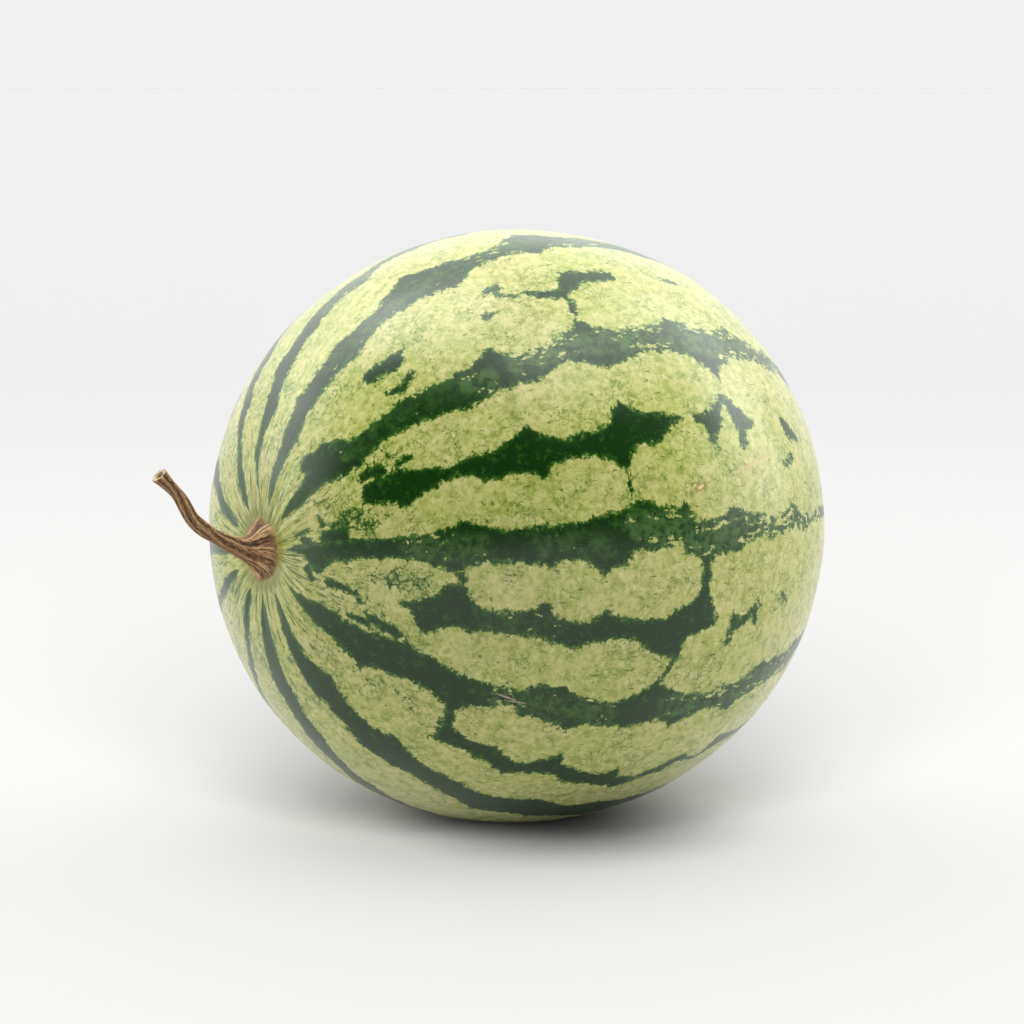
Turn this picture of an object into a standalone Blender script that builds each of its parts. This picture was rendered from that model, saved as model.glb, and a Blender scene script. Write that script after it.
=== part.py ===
"""A round-oval striped watermelon with its dried stem, resting on a small flat spot.

The melon's axis lies along X, with the stem end towards -X and the blossom end towards +X.
+Z is up, and the origin is the centre of the flat spot that it rests on. Sizes are in metres.
"""

import math

import bmesh
import bpy
from mathutils import Vector

# The fruit: a slightly squarish ellipsoid, dished in at both ends.
FRUIT_RADIUS = 0.120
FRUIT_HALF_LENGTH = 0.1253
SQUARENESS = 2.075
STEM_DISH_DEPTH = 0.0035
STEM_DISH_WIDTH = 0.020
BLOSSOM_DISH_DEPTH = 0.0030
BLOSSOM_DISH_WIDTH = 0.013

# The spot worn flat under the fruit, and how high it puts the fruit's axis.
SPOT_RADIUS = 0.021
AXIS_HEIGHT = math.sqrt(FRUIT_RADIUS**2 - SPOT_RADIUS**2)

FRUIT_SEGMENTS = 72
FRUIT_RINGS = 48
POLE_CROWDING = 0.35

# The stem: runs of (length, climb in degrees) that lead away from the fruit along -X.
STEM_GAP = 0.00035
STEM_RUNS = ((0.009, 6.0), (0.015, 25.0), (0.012, 36.0), (0.011, 61.0), (0.0115, 44.0))
STEM_STEP = 0.0016
STEM_SIDES = 28
BEND_ROUNDING_PASSES = 5
FOOT_RADIUS = 0.0121
FOOT_FLARE = 0.0050
FOOT_FLARE_POWER = 1.3
FOOT_RIM = 0.0007
FOOT_STRAIGHT = 0.006
FOOT_UNDERSIDE_RINGS = (0.35, 0.7, 1.0)
NECK_RADIUS = 0.0033
TIP_RADIUS = 0.0025
TIP_LIP = 0.00035
TIP_LIP_LENGTH = 0.0018
RIDGES = 7
RIDGE_HEIGHT = 0.00028
FOOT_RIDGE_HEIGHT = 0.00070
RIDGE_TWIST = math.radians(70.0)
TIP_HOLLOW_RADIUS = 0.0011
TIP_HOLLOW_DEPTH = 0.0020
TIP_HOLLOW_TAPER = 0.7


def clear_scene():
    for item in list(bpy.data.objects):
        bpy.data.objects.remove(item, do_unlink=True)


def plain_material(name, colour, roughness):
    material = bpy.data.materials.new(name)
    material.use_nodes = True
    shader = material.node_tree.nodes["Principled BSDF"]
    shader.inputs["Base Color"].default_value = (*colour, 1.0)
    shader.inputs["Roughness"].default_value = roughness
    return material


def dish(radius, depth, width):
    """How far the dished end lies inside the ellipsoid at this distance from the axis."""
    return depth * math.exp(-((radius / width) ** 2))


def stem_end_x(radius):
    """The x of the rind at the stem end, at this distance from the fruit's axis."""
    share = 1.0 - (radius / FRUIT_RADIUS) ** SQUARENESS
    x = -FRUIT_HALF_LENGTH * share ** (1.0 / SQUARENESS)
    return x + dish(radius, STEM_DISH_DEPTH, STEM_DISH_WIDTH)


def fruit_point(unit):
    """Moves a point of a unit sphere, whose pole is at the stem, out to the rind."""
    angle = math.acos(max(-1.0, min(1.0, unit.z)))
    angle -= 0.5 * POLE_CROWDING * math.sin(2.0 * angle)
    along, across = math.cos(angle), max(0.0, math.sin(angle))
    reach = (abs(along) ** SQUARENESS + across**SQUARENESS) ** (-1.0 / SQUARENESS)
    radius = FRUIT_RADIUS * reach * across
    x = -FRUIT_HALF_LENGTH * reach * along
    if along > 0.0:
        x += dish(radius, STEM_DISH_DEPTH, STEM_DISH_WIDTH)
    else:
        x -= dish(radius, BLOSSOM_DISH_DEPTH, BLOSSOM_DISH_WIDTH)
    around = math.atan2(unit.y, unit.x)
    return Vector((x, radius * math.sin(around), AXIS_HEIGHT + radius * math.cos(around)))


def link_mesh(name, shape, material):
    """Turns a bmesh into a linked, smooth-shaded object with outward faces."""
    bmesh.ops.recalc_face_normals(shape, faces=shape.faces)
    mesh = bpy.data.meshes.new(name)
    shape.to_mesh(mesh)
    shape.free()
    mesh.shade_smooth()
    made = bpy.data.objects.new(name, mesh)
    bpy.context.scene.collection.objects.link(made)
    mesh.materials.append(material)
    return made


def ground_cutter():
    """The half-space under the ground, as a box that trims the flat spot."""
    shape = bmesh.new()
    bmesh.ops.create_cube(shape, size=0.4)
    bmesh.ops.translate(shape, verts=shape.verts, vec=(0.0, 0.0, -0.2))
    cutter = link_mesh("ground_cutter", shape, None)
    cutter.hide_render = True
    cutter.display_type = "WIRE"
    return cutter


def build_melon(material):
    shape = bmesh.new()
    bmesh.ops.create_uvsphere(
        shape, u_segments=FRUIT_SEGMENTS, v_segments=FRUIT_RINGS, radius=1.0
    )
    for vertex in shape.verts:
        vertex.co = fruit_point(vertex.co)
    melon = link_mesh("melon", shape, material)
    trim = melon.modifiers.new("flat_spot", "BOOLEAN")
    trim.operation = "DIFFERENCE"
    trim.solver = "EXACT"
    trim.object = ground_cutter()
    return melon


def stem_path():
    """Evenly spaced points of the stem's centre line, with the corners between runs rounded."""
    corners = [Vector((stem_end_x(0.0) - STEM_GAP, 0.0, AXIS_HEIGHT))]
    for length, climb in STEM_RUNS:
        heading = math.radians(climb)
        step = Vector((-math.cos(heading), 0.0, math.sin(heading)))
        corners.append(corners[-1] + length * step)
    points = []
    for start, end in zip(corners, corners[1:]):
        count = round((end - start).length / STEM_STEP)
        points += [start.lerp(end, i / count) for i in range(count)]
    points.append(corners[-1])
    for _ in range(BEND_ROUNDING_PASSES):
        middles = [(a + 2.0 * b + c) / 4.0 for a, b, c in zip(points, points[1:], points[2:])]
        points = [points[0], *middles, points[-1]]
    return points


def stem_radius(distance, length):
    """The stem's mean radius this far from the rind: a flared foot, a shaft and a small lip."""
    shaft = NECK_RADIUS + (TIP_RADIUS - NECK_RADIUS) * distance / length
    flare = math.exp(-((distance / FOOT_FLARE) ** FOOT_FLARE_POWER))
    lip = TIP_LIP * math.exp(-(((length - distance) / TIP_LIP_LENGTH) ** 2))
    return shaft + (FOOT_RADIUS - NECK_RADIUS) * flare + lip


def ring_offsets(distance, length):
    """The stem's outline round its centre line at this distance, as (side, up) pairs."""
    flare = math.exp(-((distance / FOOT_FLARE) ** FOOT_FLARE_POWER))
    height = RIDGE_HEIGHT + (FOOT_RIDGE_HEIGHT - RIDGE_HEIGHT) * flare
    offsets = []
    for i in range(STEM_SIDES):
        turn = 2.0 * math.pi * i / STEM_SIDES
        ridge = math.cos(RIDGES * (turn + RIDGE_TWIST * distance / length))
        radius = stem_radius(distance, length) + height * ridge
        offsets.append((radius * math.sin(turn), radius * math.cos(turn)))
    return offsets


def heading_at(path, index, travelled):
    """The way the stem runs at a point of its path. The foot faces straight out of the fruit."""
    ahead = path[min(index + 1, len(path) - 1)]
    along = (ahead - path[index - 1]).normalized()
    straight = math.exp(-((travelled / FOOT_STRAIGHT) ** 2))
    return along.lerp(Vector((-1.0, 0.0, 0.0)), straight).normalized()


def ring_round(centre, heading, offsets):
    """Points round a centre, square to the heading, with side along +Y."""
    side = Vector((0.0, 1.0, 0.0))
    up = side.cross(heading).normalized()
    return [centre + a * side + b * up for a, b in offsets]


def lift_off_rind(ring, clearance):
    """Moves any point of the ring that would dip into the rind straight out along -X."""
    lifted = []
    for point in ring:
        rind_x = stem_end_x(math.hypot(point.y, point.z - AXIS_HEIGHT))
        lifted.append(Vector((min(point.x, rind_x - clearance), point.y, point.z)))
    return lifted


def foot_rings(length):
    """The foot's underside, from its middle out, over the dished rind, then its thin rim."""
    offsets = ring_offsets(0.0, length)
    rings = []
    for share in FOOT_UNDERSIDE_RINGS:
        flat = [Vector((0.0, share * a, AXIS_HEIGHT + share * b)) for a, b in offsets]
        rings.append(lift_off_rind(flat, STEM_GAP))
    rings.append([point - Vector((FOOT_RIM, 0.0, 0.0)) for point in rings[-1]])
    return rings


def shaft_rings(path, length):
    """Rings along the path, from just above the foot's rim to the lip, then into the hollow tip."""
    rings = []
    travelled = 0.0
    for index in range(1, len(path)):
        travelled += (path[index] - path[index - 1]).length
        heading = heading_at(path, index, travelled)
        ring = ring_round(path[index], heading, ring_offsets(travelled, length))
        rings.append(lift_off_rind(ring, STEM_GAP + FOOT_RIM))
    share = TIP_HOLLOW_RADIUS / stem_radius(length, length)
    mouth = [(share * a, share * b) for a, b in ring_offsets(length, length)]
    rings.append(ring_round(path[-1], heading, mouth))
    narrowed = [(TIP_HOLLOW_TAPER * a, TIP_HOLLOW_TAPER * b) for a, b in mouth]
    rings.append(ring_round(path[-1] - TIP_HOLLOW_DEPTH * heading, heading, narrowed))
    return rings


def build_stem(material):
    path = stem_path()
    length = sum((b - a).length for a, b in zip(path, path[1:]))
    shape = bmesh.new()
    rings = foot_rings(length) + shaft_rings(path, length)
    rows = [[shape.verts.new(point) for point in ring] for ring in rings]
    for row, following in zip(rows, rows[1:]):
        for i in range(STEM_SIDES):
            k = (i + 1) % STEM_SIDES
            shape.faces.new((row[i], row[k], following[k], following[i]))
    caps = [shape.faces.new(rows[0]), shape.faces.new(rows[-1])]
    bmesh.ops.triangulate(shape, faces=caps)
    return link_mesh("stem", shape, material)


clear_scene()
build_melon(plain_material("rind", (0.42, 0.50, 0.20), 0.38))
build_stem(plain_material("dry_stem", (0.26, 0.16, 0.08), 0.85))
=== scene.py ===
"""Looks of a striped watermelon: its rind, its dried stem, a pale floor and soft studio light.

Everything is in metres in the part's frame: +Z up, the melon's axis along X, the stem end at -X.
A place on the rind is given as (down, round) in degrees: down runs from 0 at the stem's pole to
180 at the blossom's pole, and round runs from 0 at the top through 90 at -Y to 180 underneath.
"""

import bpy
import numpy as np
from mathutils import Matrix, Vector


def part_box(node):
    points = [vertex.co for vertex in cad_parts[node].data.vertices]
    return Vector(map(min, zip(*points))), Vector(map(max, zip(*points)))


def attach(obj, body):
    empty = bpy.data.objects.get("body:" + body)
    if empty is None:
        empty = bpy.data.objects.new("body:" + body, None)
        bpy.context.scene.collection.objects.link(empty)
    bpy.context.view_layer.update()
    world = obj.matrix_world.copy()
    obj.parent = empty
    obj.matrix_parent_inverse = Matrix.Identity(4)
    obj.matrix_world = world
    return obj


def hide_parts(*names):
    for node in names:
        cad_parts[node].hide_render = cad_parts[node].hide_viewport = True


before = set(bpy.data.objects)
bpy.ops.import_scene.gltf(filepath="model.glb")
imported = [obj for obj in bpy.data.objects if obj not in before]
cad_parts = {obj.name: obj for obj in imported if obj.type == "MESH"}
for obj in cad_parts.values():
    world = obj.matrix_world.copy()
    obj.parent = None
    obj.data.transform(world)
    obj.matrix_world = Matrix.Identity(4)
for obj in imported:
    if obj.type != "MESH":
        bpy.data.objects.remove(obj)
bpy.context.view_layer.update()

# The fruit's form, as in the part.
MELON_LOW, MELON_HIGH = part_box("melon")
FRUIT_RADIUS = (MELON_HIGH.y - MELON_LOW.y) / 2.0
AXIS_HEIGHT = MELON_HIGH.z - FRUIT_RADIUS
FRUIT_HALF_LENGTH = 0.1253
SQUARENESS = 2.075
STEM_DISH_DEPTH = 0.0035
STEM_DISH_WIDTH = 0.020
BLOSSOM_DISH_DEPTH = 0.0030
BLOSSOM_DISH_WIDTH = 0.013
RIND_RINGS = 220
RIND_SIDES = 440
GRAIN_CORE = 0.42
GROUND_SOFTNESS = 0.0006
SWELL = 0.00022
CREASE = 0.00011
INSET = 0.00004
MM = 1000.0
MM_DOWN = MM * np.radians(1.0) * (FRUIT_RADIUS + FRUIT_HALF_LENGTH) / 2.0


def closed_skin(name, rows, first, last):
    """A closed mesh of rings, joined to each other by quads and to an end point by triangles."""
    rings, sides = rows.shape[:2]
    points = np.concatenate([first[None], rows.reshape(-1, 3), last[None]])
    corner = 1 + np.arange(rings * sides).reshape(rings, sides)
    turned = np.roll(corner, -1, axis=1)
    quads = np.stack([corner[:-1], turned[:-1], turned[1:], corner[1:]], -1)
    start_fan = np.stack([np.zeros(sides, int), turned[0], corner[0]], -1)
    end_fan = np.stack([np.full(sides, len(points) - 1), corner[-1], turned[-1]], -1)
    loops = np.concatenate([start_fan.ravel(), quads.ravel(), end_fan.ravel()])
    sizes = np.concatenate([np.full(sides, 3), np.full(quads[..., 0].size, 4), np.full(sides, 3)])
    mesh = bpy.data.meshes.new(name)
    mesh.vertices.add(len(points))
    mesh.vertices.foreach_set("co", points.astype(np.float32).ravel())
    mesh.loops.add(len(loops))
    mesh.loops.foreach_set("vertex_index", loops.astype(np.int32))
    mesh.polygons.add(len(sizes))
    starts = np.concatenate([[0], np.cumsum(sizes)[:-1]])
    mesh.polygons.foreach_set("loop_start", starts.astype(np.int32))
    mesh.update(calc_edges=True)
    mesh.shade_smooth()
    piece = bpy.data.objects.new(name, mesh)
    bpy.context.scene.collection.objects.link(piece)
    return piece


def keep_number(piece, name, values):
    """Stores one number at each point of the piece, for its material to read."""
    layer = piece.data.attributes.new(name, "FLOAT", "POINT")
    layer.data.foreach_set("value", values.astype(np.float32).ravel())


def keep_vector(piece, name, values):
    """Stores one vector at each point of the piece, for its material to read."""
    layer = piece.data.attributes.new(name, "FLOAT_VECTOR", "POINT")
    layer.data.foreach_set("vector", values.astype(np.float32).ravel())


def with_ends(rows, first, last):
    """Values on rings of points, flattened, with one value added for each end point."""
    return np.concatenate([[first], rows.ravel(), [last]])


# ---------------------------------------------------------------- the rind's form


def dish(radius, depth, width):
    """Depth of a dished end at a distance from the axis: depth * exp(-(radius / width)^2)."""
    return depth * np.exp(-((radius / width) ** 2))


def stem_end_x(radius):
    """x of the rind at the stem end: the squarish ellipse through the pole, plus the dish."""
    share = 1.0 - (radius / FRUIT_RADIUS) ** SQUARENESS
    x = -FRUIT_HALF_LENGTH * share ** (1.0 / SQUARENESS)
    return x + dish(radius, STEM_DISH_DEPTH, STEM_DISH_WIDTH)


def rind_profile(down):
    """(x, radius) of the rind at this angle down from the stem pole.

    A point of the unit circle is pushed out by (|cos|^n + |sin|^n)^(-1/n), stretched to the
    half length and the radius, and set back by the dish at its end.
    """
    along, across = np.cos(np.radians(down)), np.sin(np.radians(down))
    reach = (np.abs(along) ** SQUARENESS + np.abs(across) ** SQUARENESS) ** (-1.0 / SQUARENESS)
    radius = FRUIT_RADIUS * reach * across
    x = -FRUIT_HALF_LENGTH * reach * along
    x = x + np.where(along > 0.0, dish(radius, STEM_DISH_DEPTH, STEM_DISH_WIDTH), 0.0)
    x = x - np.where(along < 0.0, dish(radius, BLOSSOM_DISH_DEPTH, BLOSSOM_DISH_WIDTH), 0.0)
    return x, radius


def waves(places, count, shortest, longest, seed):
    """A smooth random field near -1 to 1: the mean of sine waves in random directions."""
    rng = np.random.default_rng(seed)
    total = np.zeros(places.shape[:-1])
    for length in np.linspace(shortest, longest, count):
        heading = rng.normal(size=3)
        heading *= 2.0 * np.pi / (length * np.linalg.norm(heading))
        total += np.sin(places @ heading + rng.uniform(0.0, 2.0 * np.pi))
    return total * (2.0 / count) ** 0.5


def rind_points(down, around):
    """The rind's points: the turned profile, swollen by slow waves and creased by the stem.

    The creases are three cosines round the axis, strongest 11 degrees down from the pole. Heights
    below the ground are bent up to it by (z + sqrt(z^2 + softness^2)) / 2.
    """
    x, radius = rind_profile(down)
    turn = np.radians(around)
    sphere = np.stack([x, -radius * np.sin(turn), radius * np.cos(turn)], -1)
    outward = sphere / np.linalg.norm(sphere, axis=-1, keepdims=True)
    swell = SWELL * waves(sphere, 14, 0.035, 0.110, seed=4)
    creases = np.cos(17 * turn + 0.4) + 0.7 * np.cos(29 * turn + 2.0) + 0.5 * np.cos(43 * turn)
    swell = swell + CREASE * creases * np.exp(-(((down - 11.0) / 7.0) ** 2))
    points = sphere + (swell - INSET)[..., None] * outward
    z = points[..., 2] + AXIS_HEIGHT
    points[..., 2] = (z + np.sqrt(z**2 + GROUND_SOFTNESS**2)) / 2.0
    return points


# ---------------------------------------------------------------- the rind's pattern

# Each dark stripe lies between two edges. An edge is a row of cusps (down, round, lobe): between
# one cusp and the next a rounded pale lobe bites this many degrees into the stripe.
STRIPES = {
    "crown_far": (
        [(9, -1, 0), (13, -9.5, 1), (18, -14.5, 3), (36, -17, 1.8), (45, -14.3, 0.8)]
        + [(57, -11.8, 0.8), (68, -12, 1.2), (80, -13, 1.5), (92, -12.5, 1.8), (106, -13, 2)],
        [(9, 0, 0), (11, -2, 4.2), (26, -2.2, 2.5), (45, -5, 2), (57.5, -3.2, 3)]
        + [(70, -5, 1.5), (81, -4, 2), (93, -4.5, 2), (106, -4, 2)],
    ),
    "crown": (
        [(8.5, 17, 0), (11, 13, 0), (15, 11, 0.8), (23, 9.4, 0.4), (29.5, 7, 2)]
        + [(41, 8, 1.6), (52, 9.8, 0.6), (59, 5.8, 3.3), (81, 9.5, 0.3), (84, 7.3, 0.2)]
        + [(87, 8, 1), (96, 10, 1.5), (107, 9.5, 1.5)],
        [(8.5, 19, 0), (11, 21.5, 0), (24, 20.5, 2.3), (40, 19.6, 0.3), (43, 19, 2.4)]
        + [(63, 20.6, 0.2), (66, 19.5, 3.2), (82, 19.6, 1.8), (92, 18, 1.5), (107, 19, 2)],
    ),
    "shoulder": (
        [(9, 46.5, 0), (12, 43, 0), (18, 42, 0), (20, 39, 0), (28, 38.5, 0), (30, 42, 1.2)]
        + [(43, 41.4, 2), (58.5, 40.3, 0.2), (60, 41, 4.2), (77.5, 39.8, 3.4), (95, 42, 1.8)]
        + [(111, 42.3, 1.8), (124, 42.5, 1.5)],
        [(9, 49, 0), (12, 51, 0), (17, 53.5, 1.6), (24, 53, 0.2), (30, 54, 1.4)]
        + [(40, 50.2, 0), (45, 50.5, 0.2), (51, 52.2, 0.3), (54, 52, 1), (60, 51.6, 1)]
        + [(65, 52, 0.8), (72, 50.2, 0), (79, 52.6, 1.8), (90, 51, 0.6), (97, 51.5, 0.2)]
        + [(101, 56.2, 2), (110, 51, 0.5), (124, 50.5, 1)],
    ),
    "upper_broken": (
        [(28.5, 64, 0), (30, 60.5, 0), (33, 59.8, 0.6), (36.5, 59.3, 0.3), (41, 62, 0)]
        + [(45, 65.0, 0), (50, 63, 0.5), (57, 61.8, 0.2), (60.5, 59.8, 4.2), (76.2, 61.2, 0)]
        + [(78.5, 59.0, 0.6), (83, 62.0, 0.3), (89, 63.9, 0)],
        [(28.5, 66, 0), (30.5, 69, 0.3), (36.8, 72.5, 1.2), (45, 68.4, 0.2), (49, 68.2, 0)]
        + [(51, 70.5, 0.6), (53.5, 70.5, 1.6), (61, 72.6, 3.6), (75, 72.8, 1.6), (80, 68, 0.2)]
        + [(83, 68.5, 0.4), (86, 66, 0), (89, 64.1, 0)],
    ),
    "middle": (
        [(8.5, 83, 0), (12, 79, 0), (26, 80, 0.2), (31, 80.6, 0.4), (42, 80.4, 0)]
        + [(46, 78.4, 0.2), (50, 79.8, 2.8), (77, 77.8, 0), (79.5, 78.3, 0.8), (87, 79.8, 0)]
        + [(89, 83, 0.4), (99, 81, 2), (115, 81.3, 1.5), (131, 82.5, 1)],
        [(8.5, 84, 0), (11, 87, 0), (14, 89, 0), (15, 95, 0), (17, 98.5, 0), (19, 95, 0)]
        + [(21, 90, 0.3), (24, 90, 0.8), (30, 88.3, 0.2), (36, 88.2, 0.6), (44.5, 91.5, 2.7)]
        + [(61, 91.2, 2.8), (70, 92.2, 3.9), (90.5, 91, 1), (98, 90.2, 1.6), (107, 88, 1.2)]
        + [(121, 88.2, 1.6), (131, 86.5, 1)],
    ),
    "lower_broken": (
        [(35, 100.6, 0), (38, 99.6, 0), (41, 98, 0), (42.5, 95, 0), (44.8, 93.2, 0)]
        + [(47.5, 97.5, 2.6), (60, 96.8, 3.3), (71, 97.6, 3), (84, 98.8, 0.4), (89, 96, 0)]
        + [(91, 93, 0), (93.5, 101, 0)],
        [(35, 101.4, 0), (37, 103.5, 0), (39.6, 110, 2), (48, 105.6, 0.8), (60, 105, 0.2)]
        + [(67, 107, 1.9), (81.5, 106.2, 0.2), (85.4, 109.8, 1.6), (89, 105, 0.2)]
        + [(93.5, 103, 0)],
    ),
    "flank": (
        [(8, 120, 0), (13, 119.5, 0), (19, 114.5, 0.2), (22, 114.3, 2.2), (37.5, 113, 3)]
        + [(61, 115.5, 0.5), (67, 115, 3.8), (83, 112, 4.4), (110, 113, 1.2), (115, 113.6, 2)],
        [(8, 121, 0), (12, 123, 0), (17, 128, 0), (20, 129, 1.4), (30.5, 131.4, 5.6)]
        + [(48.3, 130, 3.6), (60, 124.2, 1), (70, 125.2, 2), (80, 125.2, 2.4), (90, 124.6, 1.6)]
        + [(103, 123, 1.4), (115, 121.5, 1)],
    ),
    "low_broken": (
        [(48, 133, 0), (49, 131.4, 0.5), (52, 134, 0.2), (59, 133, 0.2), (65, 136.3, 0.3)]
        + [(71.2, 131.6, 3.6), (83, 134.6, 1.2), (90.5, 139.2, 0), (98.5, 133.3, 0.6)]
        + [(104, 136, 0.2), (107, 131, 1.2), (116, 134, 1), (126, 136, 0)],
        [(48, 139.6, 0), (49, 139.5, 2), (63, 141.6, 3), (75, 141.8, 1.8), (86, 143.2, 0.6)]
        + [(95, 139.2, 0.2), (99, 136.2, 0.2), (103, 137.8, 1), (116, 137.5, 1), (126, 137, 0)],
    ),
    "belly": (
        [(8, 145.5, 0), (12, 144.5, 0.8), (19, 149, 0.2), (23, 149.3, 0), (28, 143.8, 4)]
        + [(43.5, 145.9, 2.2), (59, 149, 2.2), (74, 147.8, 2), (88, 148.5, 2), (103, 149, 2)],
        [(8, 148, 0), (10, 153, 0), (14, 157, 0), (21, 160.5, 0), (28, 161, 2)]
        + [(41, 160, 2.9), (66, 160, 2.2), (78, 159.5, 2), (91, 160, 2), (103, 159, 2)],
    ),
    "under": (
        [(8, 177, 0), (11, 172.5, 0), (19, 173, 2.2), (38, 172, 2.8), (53, 174.5, 2)]
        + [(66, 173.5, 2), (79, 174.5, 1.8), (92, 174, 2), (104, 174.5, 2)],
        [(8, 179, 0), (11, 183, 0), (18, 186, 0), (26, 189, 2.6), (42, 184.6, 1.5)]
        + [(54, 184, 2), (67, 183, 2), (80, 184, 2), (93, 183.5, 2), (104, 183, 2)],
    ),
}

# The far side's stripes: (round, half width, first and last degrees down).
FAR_STRIPES = (
    (207, 3.6, 8, 172),
    (224, 2.6, 42, 118),
    (240, 3.4, 9, 172),
    (265, 3.8, 8, 172),
    (281, 2.4, 50, 132),
    (295, 3.8, 8, 172),
    (312, 2.6, 36, 104),
    (328, 3.9, 8, 172),
)

# Spurs, veins, islands and chevrons: (down, round, radius) at each end, all in degrees.
MARKS = (
    ((21.4, 36.5, 1.8), (24, 41, 3.2)),
    ((24, 41, 3.0), (29, 42, 1.8)),
    ((99.8, 60.3, 0.7), (95.5, 64.6, 2.1)),
    ((95.5, 64.6, 1.8), (92.6, 64.3, 0.9)),
    ((95.2, 66.0, 1.3), (95.0, 69.8, 0.4)),
    ((100.8, 60.5, 0.8), (103.6, 64.8, 2.0)),
    ((103.5, 65.0, 1.6), (106.6, 65.7, 0.5)),
    ((103.0, 66.5, 1.2), (102.4, 70.0, 0.4)),
    ((118, 63.6, 1.1), (119.8, 66, 1.5)),
    ((119.5, 66, 0.8), (123, 67.6, 0.4)),
    ((115, 73.5, 0.5), (118, 72, 0.9)),
    ((75.3, 72.5, 0.5), (76, 76.5, 0.4)),
    ((77.7, 40.5, 0.8), (77.9, 34, 0.6)),
    ((72.5, 30.5, 0.6), (77, 33, 1.4)),
    ((77, 33, 1.4), (81.5, 29.5, 1.8)),
    ((81.5, 29, 1.9), (90, 29.8, 1.6)),
    ((66, 27, 0.7), (69.5, 26.5, 0.9)),
    ((69, 29, 0.9), (70, 30.5, 0.5)),
    ((40.5, 28.5, 1.7), (45.5, 30, 1.9)),
    ((45.5, 30, 1.2), (48, 28.5, 0.4)),
    ((41, 37.5, 0.6), (43, 38.5, 0.7)),
    ((43, 38.5, 0.6), (47, 36.8, 0.6)),
    ((63, 32.5, 0.8), (65, 33, 0.4)),
    ((103, 29.8, 0.8), (106.5, 30, 0.5)),
    ((44.8, 90.5, 0.7), (45, 95, 0.7)),
    ((90.6, 90, 1.1), (91, 98, 0.9)),
    ((98.2, 101.5, 0.8), (97.6, 106.6, 0.6)),
    ((98.5, 103.2, 1.1), (101.5, 102.6, 0.8)),
    ((101.5, 102.2, 0.8), (103.8, 100.6, 1.2)),
    ((103.8, 100.8, 0.9), (104.4, 104, 0.5)),
    ((85.2, 108, 0.6), (84, 113, 0.6)),
    ((112.5, 100, 0.7), (115, 102.5, 0.4)),
    ((48.4, 128, 1.1), (49, 134, 1.0)),
    ((12.0, 72, 0.5), (16, 71, 0.5)),
    ((14.0, 76, 0.8), (15.5, 81, 1.3)),
    ((19.5, 77.5, 1.2), (23.4, 77.5, 1.5)),
    ((19.0, 65.5, 0.5), (19.4, 70, 0.9)),
    ((14.5, 98, 1.0), (16.2, 103, 0.6)),
    ((20, 100.5, 0.9), (26, 103, 0.7)),
    ((26, 103, 0.7), (27, 106, 0.6)),
    ((30, 111, 0.9), (35, 112.5, 1.2)),
    ((25, 113, 0.7), (30, 113.5, 0.7)),
    ((29.5, 57.3, 0.8), (33, 58.6, 1.4)),
    ((37, 58.5, 0.9), (39.5, 57.5, 0.6)),
)

# Where the dark stripes are laced with pale threads: ends as above, then how strongly.
LACE = (
    ((53, 46.5, 1.6), (57, 47.5, 1.6), 0.9),
    ((72, 46.8, 1.8), (80, 46.0, 2.0), 0.9),
    ((84, 46.5, 2.0), (92, 47.0, 2.2), 1.0),
    ((98, 47.0, 3.0), (126, 47.0, 3.0), 0.9),
    ((37, 84.5, 1.6), (49, 85.0, 1.6), 0.7),
    ((60, 85.5, 1.5), (70, 85.5, 1.5), 0.5),
    ((77, 83.0, 2.4), (86, 85.0, 3.0), 1.1),
    ((90, 86.0, 2.2), (128, 85.0, 2.6), 1.0),
    ((52, 102.0, 1.5), (62, 101.0, 1.5), 0.4),
    ((55, 120.0, 1.8), (75, 120.0, 1.8), 0.7),
    ((88, 119.0, 2.0), (122, 118.0, 2.2), 0.8),
    ((38, 14.0, 2.0), (56, 13.0, 2.4), 0.45),
    ((58, 13.5, 2.0), (106, 14.0, 2.2), 0.7),
    ((30, 46.0, 1.6), (50, 46.0, 1.8), 0.3),
    ((64, 46.0, 2.0), (74, 46.5, 2.0), 1.0),
    ((50, -8.0, 1.6), (106, -8.5, 1.6), 0.6),
)

# Where dark flecks crowd the pale ground: a place, its spread down and round, and a strength.
FLECKED = (
    (34, 94, 9, 6, 1.0),
    (33, 109, 9, 6, 0.7),
    (26, 73, 11, 8, 1.1),
    (36, 56, 9, 6, 1.0),
    (50, 55, 7, 4, 0.5),
    (52, 73, 4, 3, 0.5),
    (22, 60, 8, 8, 0.5),
    (62, 29, 8, 5, 0.3),
    (48, 34, 9, 5, 0.25),
    (64, 75, 4, 4, 0.25),
    (100, 76, 12, 8, 0.35),
    (88, 99, 7, 5, 0.4),
    (100, 103, 12, 7, 0.4),
    (106, 62, 10, 8, 0.3),
    (40, 131, 9, 5, 0.6),
    (34, 146, 10, 5, 0.5),
    (82, 130, 8, 4, 0.5),
)


PATTERN_SEED = 11
LAST_CUSP = 172.0
FAR_FROM_STRIPES = -60.0
LACE_FADE_MM = 3.0
DEPTH_LIMIT_MM = 9.0


def turned_from(around, centre):
    """Degrees round from a centre line, from -180 to 180."""
    return (around - centre + 180.0) % 360.0 - 180.0


def scalloped(cusps, down, side):
    """An edge's degrees round: straight from cusp to cusp, plus side times a rounded lobe.

    With u from 0 to 1 between two cusps, the lobe is its depth times (1 - (2u - 1)^2)^0.62.
    """
    at, level, lobe = np.array(cusps, float).T
    i = np.clip(np.searchsorted(at, down, side="right") - 1, 0, len(at) - 2)
    u = np.clip((down - at[i]) / (at[i + 1] - at[i]), 0.0, 1.0)
    arch = (1.0 - (2.0 * u - 1.0) ** 2) ** 0.62
    return level[i] + u * (level[i + 1] - level[i]) + side * lobe[i] * arch


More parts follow.
